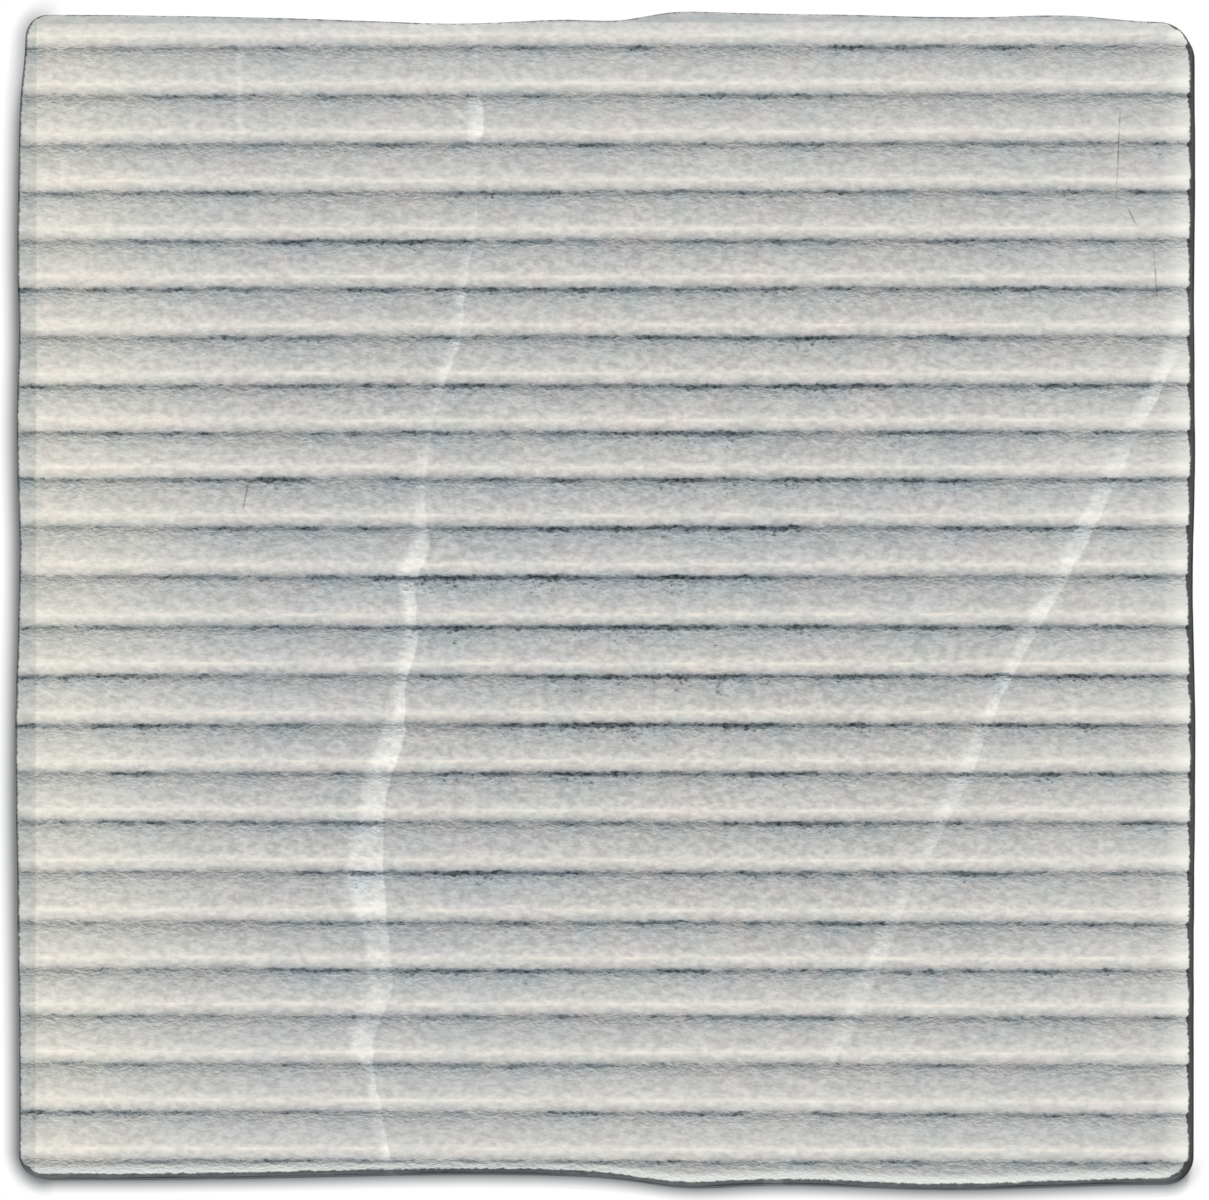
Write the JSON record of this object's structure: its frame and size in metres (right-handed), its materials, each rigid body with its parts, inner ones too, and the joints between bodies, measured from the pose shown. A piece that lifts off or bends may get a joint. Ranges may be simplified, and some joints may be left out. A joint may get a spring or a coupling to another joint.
{
  "type": "fluted stone tile",
  "caption": "Square tumbled stone wall tile with lipped flutes milled side by side across its face, worn rounded edges and corners, and a flat sawn back for bedding.",
  "frame": {"origin": "middle of the sawn back, on the surface that the tile lies on", "axes": "+X along the flutes, +Y across them from the lips towards the sweeps, +Z out of the fluted face"},
  "size_m": [0.15, 0.1496, 0.01],
  "materials": {
    "stone": "milled and tumbled light grey-beige limestone with pale veins, matt"
  },
  "bodies": {
    "root": {"fluted_tile": "stone"}
  },
  "joints": []
}
